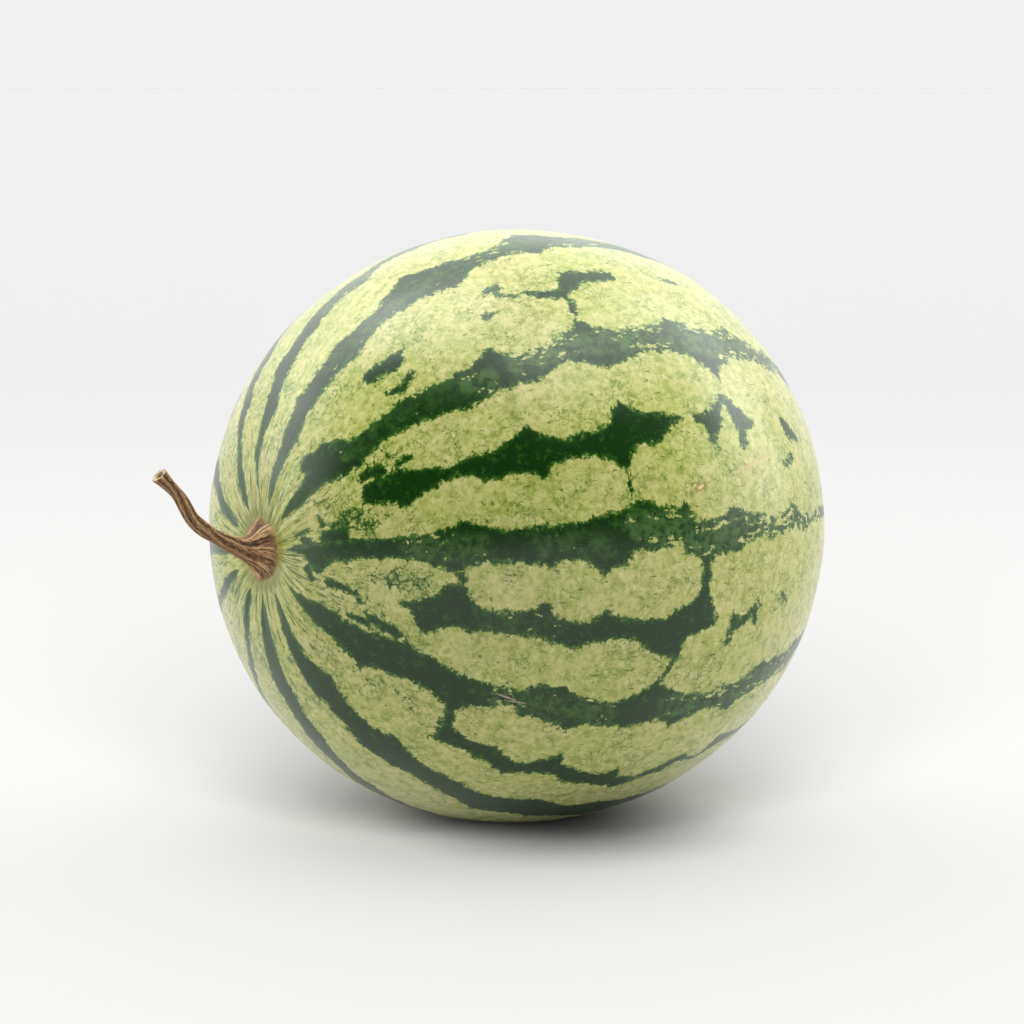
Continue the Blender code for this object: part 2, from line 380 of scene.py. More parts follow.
def grown_cusps(rng, first, last, level, outward):
    """Cusps every 8 to 15 degrees down, each up to 2 degrees outward of the level."""
    cusps = []
    at = first
    while at < last - 6.0:
        cusps.append((at, level + outward * rng.uniform(0.2, 2.2), rng.uniform(1.2, 3.0)))
        at += rng.uniform(8.0, 15.0)
    return cusps


def stripe_depth(down, around, upper, lower):
    """How many mm a place lies inside a stripe, or outside it if negative."""
    first, last = upper[0][0], upper[-1][0]
    centre = np.mean([c[1] for c in upper] + [c[1] for c in lower])
    turn = turned_from(around, centre) + centre
    inside = np.minimum(turn - scalloped(upper, down, 1.0), scalloped(lower, down, -1.0) - turn)
    ends = np.minimum(down - first, last - down)
    mm_round = MM * np.radians(1.0) * rind_profile(down)[1]
    return np.minimum(inside * mm_round, ends * MM_DOWN)


def mark_depth(down, around, start, end):
    """How many mm a place lies inside a tapered capsule drawn between two places."""
    (d0, r0, w0), (d1, r1, w1) = start, end
    mm_round = MM * np.radians(1.0) * rind_profile(down)[1]
    x, y = (down - d0) * MM_DOWN, turned_from(around, r0) * mm_round
    dx, dy = (d1 - d0) * MM_DOWN, (r1 - r0) * mm_round
    share = np.clip((x * dx + y * dy) / (dx**2 + dy**2), 0.0, 1.0)
    gap = np.hypot(x - share * dx, y - share * dy)
    return (w0 + share * (w1 - w0)) * MM_DOWN - gap


def pattern_depth(down, around):
    """mm inside the nearest dark mark: the greatest of all stripes' and marks' depths."""
    rng = np.random.default_rng(PATTERN_SEED)
    depth = np.full(np.broadcast(down, around).shape, FAR_FROM_STRIPES)
    for name, (upper, lower) in STRIPES.items():
        if not name.endswith("broken"):
            joint = max(upper[-1][0], lower[-1][0]) + 9.0
            upper = upper + grown_cusps(rng, joint, LAST_CUSP, upper[-1][1], -0.4)
            lower = lower + grown_cusps(rng, joint, LAST_CUSP, lower[-1][1], 0.4)
            middle = (upper[-1][1] + lower[-1][1]) / 2.0
            point = (LAST_CUSP + 1.0, middle, 0.0)
            upper, lower = upper + [point], lower + [point]
        depth = np.maximum(depth, stripe_depth(down, around, upper, lower))
    for middle, half, first, last in FAR_STRIPES:
        ends = (first, middle, 0.0), (last, middle, 0.0)
        upper = [ends[0], (first + 2.0, middle - 1.5 * half, 0.0)]
        lower = [ends[0], (first + 2.0, middle + 1.5 * half, 0.0)]
        upper += grown_cusps(rng, first + 9.0, last, middle - half, -1.0) + [ends[1]]
        lower += grown_cusps(rng, first + 9.0, last, middle + half, 1.0) + [ends[1]]
        depth = np.maximum(depth, stripe_depth(down, around, upper, lower))
    for start, end in MARKS:
        depth = np.maximum(depth, mark_depth(down, around, start, end))
    return depth


def spread_over(down, around, places):
    """The greatest of soft round patches: strength * exp(-(gap / spread)^2) for each place."""
    total = np.zeros(np.broadcast(down, around).shape)
    for d, r, spread_down, spread_round, strength in places:
        gap = ((down - d) / spread_down) ** 2 + (turned_from(around, r) / spread_round) ** 2
        total = np.maximum(total, strength * np.exp(-gap))
    return total


def lace_over(down, around):
    """How strongly a place is laced: full inside a laced capsule, fading out round it."""
    total = np.zeros(np.broadcast(down, around).shape)
    for start, end, strength in LACE:
        inside = np.clip(1.0 + mark_depth(down, around, start, end) / LACE_FADE_MM, 0.0, 1.0)
        total = np.maximum(total, strength * inside)
    return total


def flow_lines(profile_down):
    """(radius, height, walked length) of a stretched form that the rind's grain follows.

    Over most of the rind it is the rind itself. Towards the poles it keeps a core of a fixed
    radius and shortens its steps, so that grain made on it is drawn out into long streaks.
    """
    x, radius = rind_profile(profile_down)
    wide = (radius**5 + (GRAIN_CORE * FRUIT_RADIUS) ** 5) ** 0.2
    step = np.hypot(np.diff(x), np.diff(radius))
    middle = (profile_down[1:] + profile_down[:-1]) / 2.0
    from_pole = np.minimum(middle, 180.0 - middle)
    drawn = 1.0 - 0.5 * np.exp(-((from_pole / 20.0) ** 2))
    rise = np.sqrt(np.maximum(step**2 - np.diff(wide) ** 2, 0.0)) * drawn
    return wide, *(np.concatenate([[0.0], np.cumsum(part)]) for part in (rise, step))


def true_distance(depth, mm_round):
    """Depth divided by its slope, so that steep edges count as distance square to the edge."""
    slope_down = np.gradient(depth, axis=0) / (MM_DOWN * 180.0 / RIND_RINGS)
    sideways = np.roll(depth, -1, axis=1) - np.roll(depth, 1, axis=1)
    slope_round = sideways / (2.0 * mm_round * 360.0 / RIND_SIDES)
    return depth / np.maximum(1.0, np.hypot(slope_down, slope_round))


def folded_map(down, around, quadrant):
    """The rind unfolded to a square: the stem half is the inner diamond, and the blossom half
    is folded out to the four corners. x and y are a unit direction's parts over |x|+|y|+|z|."""
    z = np.cos(np.radians(down))
    x = np.sin(np.radians(down)) * np.cos(np.radians(around))
    y = np.sin(np.radians(down)) * np.sin(np.radians(around))
    size = np.abs(x) + np.abs(y) + np.abs(z)
    x, y = x / size, y / size
    sign_x, sign_y = quadrant
    folded_x, folded_y = (1.0 - np.abs(y)) * sign_x, (1.0 - np.abs(x)) * sign_y
    under = z < -1e-9
    return np.stack([np.where(under, folded_x, x), np.where(under, folded_y, y)], -1)


def add_bake_map(piece, down, around):
    """Gives each face corner its place on the folded square, by the quadrant of its face."""
    mesh = piece.data
    vertex = np.empty(len(mesh.loops), np.int32)
    mesh.loops.foreach_get("vertex_index", vertex)
    starts = np.empty(len(mesh.polygons), np.int32)
    mesh.polygons.foreach_get("loop_start", starts)
    face = np.repeat(np.arange(len(starts)), np.diff(np.append(starts, len(vertex))))
    side = (face - np.where(face < RIND_SIDES, 0, RIND_SIDES)) % RIND_SIDES
    middle = np.radians((side + 0.5) * 360.0 / RIND_SIDES)
    quadrant = np.sign(np.cos(middle)), np.sign(np.sin(middle))
    round_of_pole = np.degrees(middle)
    at_pole = (vertex == 0) | (vertex == len(mesh.vertices) - 1)
    corner_round = np.where(at_pole, round_of_pole, around[vertex])
    place = folded_map(down[vertex], corner_round, quadrant)
    layer = mesh.uv_layers.new(name="OFBake")
    layer.uv.foreach_set("vector", (0.5 + 0.496 * place).astype(np.float32).ravel())


def build_rind():
    """The melon's skin, with its pattern stored at its points."""
    down = (180.0 * np.arange(1, RIND_RINGS) / RIND_RINGS)[:, None]
    around = (360.0 * np.arange(RIND_SIDES) / RIND_SIDES)[None, :]
    down, around = np.broadcast_arrays(down, around)
    rows = rind_points(down, around)
    poles = rind_points(np.array([0.0, 180.0]), np.zeros(2))
    piece = closed_skin("rind", rows, poles[0], poles[1])

    turn = np.radians(around)
    profile_down = np.linspace(0.0, 180.0, 721)
    wide, rise, walk = flow_lines(profile_down)
    wide = np.interp(down, profile_down, wide)
    height = np.interp(down, profile_down, rise)
    flow = np.stack([wide * np.cos(turn), wide * np.sin(turn), height], -1)
    radius = rind_profile(down)[1]
    calm = np.clip(radius / (0.5 * FRUIT_RADIUS), 0.25, 1.0)
    sway_down = 0.35 * waves(flow, 9, 0.012, 0.035, seed=21)
    sway_round = 0.30 * waves(flow, 9, 0.012, 0.035, seed=22)
    places = down + calm * sway_down, around + calm * sway_round
    depth = pattern_depth(*places)
    depth = true_distance(depth, MM * np.radians(1.0) * radius)
    depth = np.clip(depth, -DEPTH_LIMIT_MM, DEPTH_LIMIT_MM)
    flecked = spread_over(*places, FLECKED) + 0.45 * np.exp(-(((down - 24.0) / 14.0) ** 2))
    from_stem = MM * np.interp(down, profile_down, walk)
    keep_number(piece, "stripe", with_ends(depth, -3.0, -3.0))
    keep_number(piece, "lace", with_ends(lace_over(*places), 0.0, 0.0))
    keep_number(piece, "flecked", with_ends(flecked, 0.0, 0.0))
    keep_number(piece, "calm", with_ends(calm, 0.25, 0.25))
    keep_number(piece, "from_stem", with_ends(from_stem, 0.0, MM * walk[-1]))
    poles = np.array([[0.0, 0.0, 0.0], [0.0, 0.0, rise[-1]]])
    keep_vector(piece, "flow", np.concatenate([poles[:1], flow.reshape(-1, 3), poles[1:]]))
    add_bake_map(piece, with_ends(down, 0.0, 180.0), with_ends(around, 0.0, 0.0))
    return piece


# ---------------------------------------------------------------- the stem's form

STEM_RUNS = ((0.009, 6.0), (0.015, 25.0), (0.012, 36.0), (0.011, 61.0), (0.0115, 44.0))
STEM_LENGTH = sum(length for length, _ in STEM_RUNS)
BEND_SPREAD = 0.0030
FOOT_RADIUS = 0.0121
FOOT_FLARE = 0.0050
FOOT_FLARE_POWER = 1.3
FOOT_STRAIGHT = 0.006
NECK_RADIUS = 0.0032
TIP_RADIUS = 0.0024
STEM_RINGS = 240
STEM_SIDES = 144
STEM_TWIST = np.radians(95.0)
FIBRE_PITCH = 0.0032

# The foot's hidden edge: how much narrower it is than the foot, and how deep in the rind.
BURIED_SHARE = 0.92
BURIED_DEPTH = 0.0015

# The cut tip's rings: share of the tip's width, depth below its edge, and how cut they look.
CUT_RINGS = (
    (0.93, -0.00015, 0.6),
    (0.80, -0.00005, 1.0),
    (0.62, 0.00010, 1.0),
    (0.48, 0.0010, 0.35),
    (0.30, 0.0021, 0.0),
)
CUT_EDGE = 0.15
CUT_FLOOR = 0.0024


def stem_line(along):
    """(x, z, heading) of the stem's centre line at these distances from the rind.

    The heading is the mean climb of the runs, each run's ends blurred over the bend spread, and
    the line is the running sum of short steps along it.
    """
    fine = np.linspace(0.0, STEM_LENGTH, 1200)
    heading = np.full(fine.shape, STEM_RUNS[0][1])
    start = 0.0
    for (length, climb), (_, following) in zip(STEM_RUNS, STEM_RUNS[1:]):
        start += length
        heading += (following - climb) * 0.5 * (1.0 + np.tanh((fine - start) / BEND_SPREAD))
    heading = np.radians(heading)
    step = fine[1] - fine[0]
    x = stem_end_x(0.0) - np.cumsum(np.cos(heading)) * step
    z = AXIS_HEIGHT + np.cumsum(np.sin(heading)) * step
    return [np.interp(along, fine, values) for values in (x, z, heading)]


def stem_ribs(along, turn):
    """Height of the stem's ribs, in shares of a rib: cosines that twist and wander as they run."""
    twist = STEM_TWIST * along / STEM_LENGTH
    angle = turn + twist + 0.10 * np.sin(along / 0.0041 + 1.0) + 0.06 * np.sin(along / 0.0019)
    broad = np.cos(7 * angle + 0.5) + 0.6 * np.cos(5 * angle + 2.1 + along / 0.011)
    fine = 0.55 * np.cos(19 * angle + 1.2 * np.sin(along / 0.006)) + 0.4 * np.cos(31 * angle)
    wander = 0.35 * np.cos(13 * angle - along / 0.0045) + 0.25 * np.cos(47 * angle + 4.0)
    return 0.5 * broad, 0.5 * (fine + wander)


def stem_outline(along, turn):
    """The stem's radius at each distance and turn: shaft, flared foot, swellings, lip and ribs."""
    flare = np.exp(-((along / FOOT_FLARE) ** FOOT_FLARE_POWER))
    shaft = NECK_RADIUS + (TIP_RADIUS - NECK_RADIUS) * along / STEM_LENGTH
    swelling = 0.00022 * np.sin(along / 0.0046 + 0.6) + 0.00012 * np.sin(along / 0.0021)
    lip = 0.00042 * np.exp(-(((STEM_LENGTH - along) / 0.0022) ** 2))
    oval = 1.0 + 0.07 * np.cos(2.0 * turn + along / 0.012)
    broad, fine = stem_ribs(along, turn)
    rib_height = 0.00034 + 0.00050 * flare
    fibre_height = 0.00013 + 0.00018 * flare
    base = (shaft + swelling) * oval + (FOOT_RADIUS - NECK_RADIUS) * flare + lip
    return base + rib_height * broad + fibre_height * fine


def stem_rows(along, turn, radius):
    """Rings of points round the centre line, kept just outside the rind near the foot."""
    x, z, heading = stem_line(along)
    straight = np.exp(-((along / FOOT_STRAIGHT) ** 2))
    heading = heading * (1.0 - straight)
    y = 0.0007 * np.sin(along / 0.010) * (1.0 - straight)
    side, up = radius * np.sin(turn), radius * np.cos(turn)
    points = np.stack([x + up * np.sin(heading), y - side, z + up * np.cos(heading)], -1)
    reach = np.hypot(points[..., 1], points[..., 2] - AXIS_HEIGHT)
    rind = stem_end_x(np.minimum(reach, FRUIT_RADIUS))
    clear = 0.0011 * np.clip(along / 0.0016, 0.0, 1.0) - 0.00015
    near = along < 0.010
    points[..., 0] = np.where(near, np.minimum(points[..., 0], rind - clear), points[..., 0])
    return points


def build_stem():
    """The dried stem: a ribbed tube with a flared foot, closed by a hollow cut at its tip."""
    share = np.linspace(0.0, 1.0, STEM_RINGS)
    along = (STEM_LENGTH * share**1.25)[:, None]
    turn = (2.0 * np.pi * np.arange(STEM_SIDES) / STEM_SIDES)[None, :]
    along, turn = np.broadcast_arrays(along, turn)
    radius = stem_outline(along, turn)
    wall = stem_rows(along, turn, radius)

    buried = wall[:1].copy()
    axis = [0.0, AXIS_HEIGHT]
    buried[..., 1:] = (buried[..., 1:] - axis) * BURIED_SHARE + axis
    buried[..., 0] += BURIED_DEPTH

    _, _, heading = stem_line(np.array([STEM_LENGTH]))
    outward = np.array([-np.cos(heading[0]), 0.0, np.sin(heading[0])])
    middle = wall[-1].mean(0)
    tip = wall[-1] - middle
    cut = np.stack([middle + inset * tip - sink * outward for inset, sink, _ in CUT_RINGS])
    rows = np.concatenate([buried, wall, cut])
    first = np.array([stem_end_x(0.0) + 0.002, 0.0, AXIS_HEIGHT])
    piece = closed_skin("dry_stem", rows, first, middle - CUT_FLOOR * outward)

    broad, fine = stem_ribs(along, turn)
    count = len(CUT_RINGS)
    rib = np.concatenate([broad[:1] + fine[:1], broad + fine, np.repeat(broad[-1:], count, 0)])
    run = np.concatenate([along[:1], along, np.repeat(along[-1:], count, 0)])
    cut_share = np.zeros(rib.shape)
    cut_share[-count:] = np.array([look for _, _, look in CUT_RINGS])[:, None]
    cut_share[-count - 1] = CUT_EDGE
    twist = turn[:1] + STEM_TWIST * run / STEM_LENGTH
    grain = np.stack([np.cos(twist), np.sin(twist), run / FIBRE_PITCH], -1)
    keep_number(piece, "rib", with_ends(rib, 0.0, 0.0))
    keep_number(piece, "run", with_ends(run, 0.0, STEM_LENGTH))
    keep_number(piece, "cut", with_ends(cut_share, 0.0, 0.0))
    end = np.array([[0.0, 0.0, STEM_LENGTH / FIBRE_PITCH]])
    keep_vector(piece, "grain", np.concatenate([end * 0.0, grain.reshape(-1, 3), end]))
    return piece


# ---------------------------------------------------------------- materials


class Wiring:
    """Adds nodes to a node tree and links their sockets."""

    def __init__(self, tree):
        self.tree = tree

    def add(self, kind, **settings):
        """A new node of this kind with these settings."""
        node = self.tree.nodes.new(kind)
        for name, value in settings.items():
            setattr(node, name, value)
        return node

    def join(self, value, socket):
        """Links an output to a socket, or sets the socket if the value is a plain one."""
        if isinstance(value, bpy.types.NodeSocket):
            self.tree.links.new(value, socket)
        else:
            socket.default_value = value

    def math(self, operation, a, b=0.0):
        """The result of this operation on one or two values."""
        node = self.add("ShaderNodeMath", operation=operation)
        self.join(a, node.inputs[0])
        self.join(b, node.inputs[1])
        return node.outputs[0]

    def scale(self, vector, factors):
        """The vector with each of its parts multiplied by a factor."""
        node = self.add("ShaderNodeVectorMath", operation="MULTIPLY")
        self.join(vector, node.inputs[0])
        self.join(factors, node.inputs[1])
        return node.outputs[0]

    def number(self, name):
        """A number stored at the piece's points."""
        return self.add("ShaderNodeAttribute", attribute_name=name).outputs["Fac"]

    def vector(self, name):
        """A vector stored at the piece's points."""
        return self.add("ShaderNodeAttribute", attribute_name=name).outputs["Vector"]

    def noise(self, vector, scale, detail=2.0, roughness=0.5):
        """Soft random values from 0 to 1, about 0.5 on the mean."""
        node = self.add("ShaderNodeTexNoise")
        self.join(vector, node.inputs["Vector"])
        self.join(scale, node.inputs["Scale"])
        self.join(detail, node.inputs["Detail"])
        self.join(roughness, node.inputs["Roughness"])
        return node.outputs["Fac"]

    def step(self, value, low, high):
        """0 below low, 1 above high and a smooth ramp between them."""
        node = self.add("ShaderNodeMapRange", interpolation_type="SMOOTHSTEP")
        self.join(value, node.inputs["Value"])
        self.join(low, node.inputs["From Min"])
        self.join(high, node.inputs["From Max"])
        return node.outputs["Result"]

    def cracks(self, vector, scale):
        """Distance to the nearest crack between small rounded cells, in cell widths."""
        node = self.add("ShaderNodeTexVoronoi", feature="DISTANCE_TO_EDGE")
        self.join(vector, node.inputs["Vector"])
        self.join(scale, node.inputs["Scale"])
        return node.outputs["Distance"]

    def warped(self, vector, scale, reach):
        """The vector pushed about by noise, by up to the reach."""
        node = self.add("ShaderNodeTexNoise")
        self.join(vector, node.inputs["Vector"])
        self.join(scale, node.inputs["Scale"])
        push = self.add("ShaderNodeVectorMath", operation="MULTIPLY_ADD")
        self.join(node.outputs["Color"], push.inputs[0])
        self.join((reach, reach, reach), push.inputs[1])
        self.join(vector, push.inputs[2])
        return push.outputs[0]

    def ramp(self, value, low, high, stops):
        """A colour from stops given as (value, colour) between low and high."""
        share = self.add("ShaderNodeMapRange")
        self.join(value, share.inputs["Value"])
        self.join(low, share.inputs["From Min"])
        self.join(high, share.inputs["From Max"])
        node = self.add("ShaderNodeValToRGB")
        node.color_ramp.interpolation = "EASE"
        while len(node.color_ramp.elements) < len(stops):
            node.color_ramp.elements.new(0.5)
        for element, (at, colour) in zip(node.color_ramp.elements, stops):
            element.position = (at - low) / (high - low)
            element.color = colour
        self.join(share.outputs["Result"], node.inputs["Fac"])
        return node.outputs["Color"]

    def blend(self, share, a, b):
        """Colour a where the share is 0 and colour b where it is 1."""
        node = self.add("ShaderNodeMix", data_type="RGBA")
        self.join(share, node.inputs["Factor"])
        self.join(a, node.inputs[6])
        self.join(b, node.inputs[7])
        return node.outputs[2]

    def wash(self, colour, mask, strength, tint):
        """The colour with the tint laid over it at this strength, where the mask is 1."""
        return self.blend(self.math("MULTIPLY", mask, strength), colour, tint)

    def centred(self, noise, reach):
        """Noise turned into a value about 0, as wide as the reach."""
        return self.math("MULTIPLY", self.math("SUBTRACT", noise, 0.5), reach)

    def relief(self, height, strength, distance, shader):
        """Small bumps of this height for the shader's normal."""
        bump = self.add("ShaderNodeBump")
        self.join(strength, bump.inputs["Strength"])
        self.join(distance, bump.inputs["Distance"])
        self.join(height, bump.inputs["Height"])
        self.join(bump.outputs["Normal"], shader.inputs["Normal"])


def paint(red, green, blue):
    """A linear colour from the usual 0 to 255 display values."""
    parts = np.array([red, green, blue]) / 255.0
    linear = np.where(parts <= 0.04045, parts / 12.92, ((parts + 0.055) / 1.055) ** 2.4)
    return (*linear.tolist(), 1.0)


def new_material(name):
    """(material, wiring, shader) of a new material."""
    material = bpy.data.materials.new(name)
    material.use_nodes = True
    tree = material.node_tree
    return material, Wiring(tree), tree.nodes["Principled BSDF"]


# Healed scratches: where they start and end, half width in metres, strength and tint.
SCARS = (
    ((96.0, 75.4), (112.5, 71.0), 0.00050, 0.70, (208, 178, 130)),
    ((88.6, 77.6), (91.8, 76.4), 0.00150, 0.75, (158, 128, 66)),
    ((89.3, 77.3), (91.0, 76.7), 0.00075, 0.85, (226, 204, 150)),
    ((54.5, 119.6), (59.0, 120.2), 0.00045, 0.60, (196, 172, 150)),
    ((56.5, 120.8), (60.5, 120.4), 0.00035, 0.50, (196, 176, 156)),
)


def scratch(wire, place, start, end, width):
    """A mask along the straight cut between two places of the rind, broken up by noise.

    It tapers to its ends by the cube of the distance from its middle, and lies on one side of the
    fruit only.
    """
    down, around = np.array([start, end], float).T
    first, last = (Vector(point) for point in rind_points(down, around))
    run = last - first
    outward = ((first + last) / 2.0 - Vector((0.0, 0.0, AXIS_HEIGHT))).normalized()
    across = outward.cross(run).normalized()
    reach = []
    for way in (run / run.length_squared, across, outward):
        node = wire.add("ShaderNodeVectorMath", operation="DOT_PRODUCT")
        wire.join(place, node.inputs[0])
        node.inputs[1].default_value = way
        reach.append(wire.math("SUBTRACT", node.outputs["Value"], first.dot(way)))
    side = wire.math("ABSOLUTE", reach[1])
    ragged = wire.centred(wire.noise(place, 700.0, detail=3.0), 3.0 * width)
    along = wire.math("SUBTRACT", wire.math("MULTIPLY", reach[0], 2.0), 1.0)
    narrowing = wire.math("MULTIPLY", wire.math("POWER", wire.math("ABSOLUTE", along), 3.0), width)
    outside = wire.math("ADD", wire.math("ADD", side, ragged), narrowing)
    mask = wire.step(outside, 1.3 * width, 0.7 * width)
    ends = wire.math("MULTIPLY", wire.step(reach[0], -0.02, 0.03), wire.step(reach[0], 1.02, 0.97))
    facing = wire.step(reach[2], -0.03, -0.01)
    return wire.math("MULTIPLY", mask, wire.math("MULTIPLY", ends, facing))


# The rind's paints, from the pale ground to the darkest stripe.
CREAM = paint(187, 190, 110), paint(193, 191, 120)
LEAFY = paint(154, 166, 76), paint(162, 166, 86)
PALE_GRAIN = paint(214, 206, 148)
GREEN_GRAIN = paint(120, 142, 54)
PALE_CLUMP = paint(212, 207, 150)
GREEN_CLUMP = paint(124, 146, 58)
SEAM = paint(108, 134, 48)
SPECK = paint(78, 116, 34)
STROKE = paint(72, 102, 40)
MOTTLE = paint(46, 94, 15)
PALLOR = paint(84, 124, 58)
# Grey-green laid on the stripes round the stem: partly the rind's bloom, partly painted sheen.
BLOOM_AND_PAINTED_SHEEN = paint(62, 88, 54)
COLLAR = paint(128, 132, 44)
BLOSSOM_SCAR = paint(120, 96, 62)

# The stripes' paint by how many mm a place lies inside the dark.
FRINGE_LOW = -1.0
FRINGE_HIGH = 2.0
FRINGE = (
    (-0.5, paint(122, 142, 52)),
    (0.1, paint(62, 100, 28)),
    (0.9, paint(24, 66, 9)),
    (2.0, paint(14, 50, 5)),
)

# The cells' sizes: how many to a metre, and how many mm across one is.
LARGE_CELLS = (190.0, 5.3)
SMALL_CELLS = (620.0, 1.6)

# In mm: how far noise moves the stripes' edges, how far the dark creeps along the cracks, how
# dark the ground between the stripes is at least, and how far all edges are drawn in.
FRAY_MM = 7.5
BAY_MM = 2.4
LARGE_CRACK_MM = 0.8
SMALL_CRACK_MM = 0.6
GROUND_MM = -2.4
FLECK_MM = 1.5
DRAWN_IN_MM = 0.75
THREAD_MM = 4.5

# In mm along the rind from the stem's pole.
STROKES_END, STROKES_START = 82.0, 34.0
# Where the bloom and painted sheen on the stripes round the stem fade out.
BLOOM_SHEEN_END, BLOOM_SHEEN_START = 54.0, 20.0
COLLAR_END, COLLAR_START = 18.0, 14.5
SCAR_START, SCAR_FULL = 379.0, 382.5


def rind_depth(wire, loose, flow, large_mm, patches):
    """How many mm a place lies in the dark, raised in the cracks and roughened by noise."""
    small_mm = wire.math("MULTIPLY", wire.cracks(loose, SMALL_CELLS[0]), SMALL_CELLS[1])
    fray = wire.noise(loose, 360.0, detail=7.0, roughness=0.72)
    bays = wire.noise(flow, 140.0, detail=2.0, roughness=0.5)
    rough = wire.math("ADD", wire.centred(fray, FRAY_MM), wire.centred(bays, BAY_MM))
    in_large = wire.math("MULTIPLY", wire.step(large_mm, 0.75, 0.0), LARGE_CRACK_MM)
    in_small = wire.math("MULTIPLY", wire.step(small_mm, 0.42, 0.0), SMALL_CRACK_MM)
    rough = wire.math("ADD", rough, wire.math("ADD", in_large, in_small))
    crowd = wire.math("ADD", wire.number("flecked"), wire.centred(patches, 2.2))
    floor_mm = wire.math("ADD", wire.math("MULTIPLY", crowd, FLECK_MM), GROUND_MM)
    level = wire.math("MAXIMUM", wire.number("stripe"), floor_mm)
    depth = wire.math("ADD", level, wire.math("MULTIPLY", rough, wire.number("calm")))
    depth = wire.math("SUBTRACT", depth, DRAWN_IN_MM)

    # Pale threads in the laced parts of the stripes.
    threads = wire.noise(wire.scale(flow, (1.0, 1.0, 0.45)), 480.0, detail=6.0, roughness=0.66)
    lace = wire.math("ADD", wire.math("MULTIPLY", wire.number("lace"), 0.17), 0.325)
    thread = wire.step(wire.math("SUBTRACT", lace, threads), -0.02, 0.07)
    return wire.math("SUBTRACT", depth, wire.math("MULTIPLY", thread, THREAD_MM))


def rind_ground(wire, loose, flow, large_mm, patches):
    """The pale ground: cream and yellow-green grain, clumps, seams, flecks and long strokes."""
    slow = wire.step(wire.noise(flow, 34.0, detail=3.0, roughness=0.55), 0.35, 0.65)
    grain = wire.noise(loose, 230.0, detail=8.0, roughness=0.72)
    cream, leafy = wire.blend(slow, *CREAM), wire.blend(slow, *LEAFY)
    ground = wire.blend(wire.step(grain, 0.38, 0.56), leafy, cream)
    ground = wire.wash(ground, wire.step(grain, 0.56, 0.70), 0.7, PALE_GRAIN)
    ground = wire.wash(ground, wire.step(grain, 0.40, 0.30), 0.7, GREEN_GRAIN)
    clumps = wire.noise(loose, 420.0, detail=5.0, roughness=0.65)
    ground = wire.wash(ground, wire.step(clumps, 0.47, 0.34), 0.55, GREEN_CLUMP)
    ground = wire.wash(ground, wire.step(clumps, 0.52, 0.66), 0.6, PALE_CLUMP)
    seams = wire.math("MULTIPLY", wire.step(large_mm, 0.45, 0.0), wire.step(patches, 0.42, 0.60))
    ground = wire.wash(ground, seams, 0.55, SEAM)

    # Small crisp flecks, and long thin strokes that run out from the stem.
    speck = wire.noise(loose, 900.0, detail=3.0, roughness=0.55)
    speck = wire.math("ADD", speck, wire.centred(patches, 0.45))
    speck = wire.math("ADD", speck, wire.math("MULTIPLY", wire.number("flecked"), 0.05))
    ground = wire.wash(ground, wire.step(speck, 0.63, 0.68), 0.75, SPECK)
    stroke = wire.noise(wire.scale(flow, (1.0, 1.0, 0.25)), 620.0, detail=3.0, roughness=0.5)
    near = wire.step(wire.number("from_stem"), STROKES_END, STROKES_START)
    stroke = wire.math("ADD", stroke, wire.math("MULTIPLY", near, 0.10))
    return wire.wash(ground, wire.step(stroke, 0.66, 0.71), 0.8, STROKE)


def rind_fringe(wire, loose, depth):
    """The stripes' green, lighter towards their edges, with leaf-green mottle and pale lace."""
    fringe = wire.ramp(depth, FRINGE_LOW, FRINGE_HIGH, FRINGE)
    mottle = wire.noise(loose, 240.0, detail=8.0, roughness=0.75)
    fringe = wire.wash(fringe, wire.step(mottle, 0.53, 0.66), 0.70, MOTTLE)
    pallor = wire.math("MULTIPLY", wire.number("lace"), wire.step(mottle, 0.40, 0.56))
    return wire.wash(fringe, pallor, 0.5, PALLOR)


def rind_material():
    """Waxy rind: pale ground of small rounded cells, and dark stripes that creep in between."""
    material, wire, shader = new_material("waxy_rind")
    flow = wire.vector("flow")
    from_stem = wire.number("from_stem")
    loose = wire.warped(flow, 900.0, 0.0016)
    loose = wire.warped(loose, 260.0, 0.0030)
    large_mm = wire.math("MULTIPLY", wire.cracks(loose, LARGE_CELLS[0]), LARGE_CELLS[1])
    patches = wire.noise(flow, 85.0, detail=2.0, roughness=0.55)
    depth = rind_depth(wire, loose, flow, large_mm, patches)
    ground = rind_ground(wire, loose, flow, large_mm, patches)
    dark = wire.step(depth, -0.75, 0.0)
    colour = wire.blend(dark, ground, rind_fringe(wire, loose, depth))

    # Round the stem the stripes turn a dusty grey-green, partly the rind's own bloom and partly
    # painted sheen, and a yellow ring meets its foot.
    bloom_and_sheen = wire.math("MULTIPLY", wire.step(from_stem, BLOOM_SHEEN_END, BLOOM_SHEEN_START), dark)
    colour = wire.wash(colour, bloom_and_sheen, 0.55, BLOOM_AND_PAINTED_SHEEN)
    colour = wire.wash(colour, wire.step(from_stem, COLLAR_END, COLLAR_START), 0.6, COLLAR)
    colour = wire.blend(wire.step(from_stem, SCAR_START, SCAR_FULL), colour, BLOSSOM_SCAR)
    place = wire.add("ShaderNodeTexCoord").outputs["Object"]
    for start, end, width, strength, tint in SCARS:
        colour = wire.wash(colour, scratch(wire, place, start, end, width), strength, paint(*tint))
    wire.join(colour, shader.inputs["Base Color"])

    gloss = wire.math("MULTIPLY", wire.noise(flow, 240.0, detail=3.0, roughness=0.6), 0.12)
    wire.join(wire.math("ADD", 0.17, gloss), shader.inputs["Roughness"])
    pores = wire.noise(flow, 1500.0, detail=2.0, roughness=0.5)
    wire.relief(pores, 0.30, 0.0002, shader)
    return material


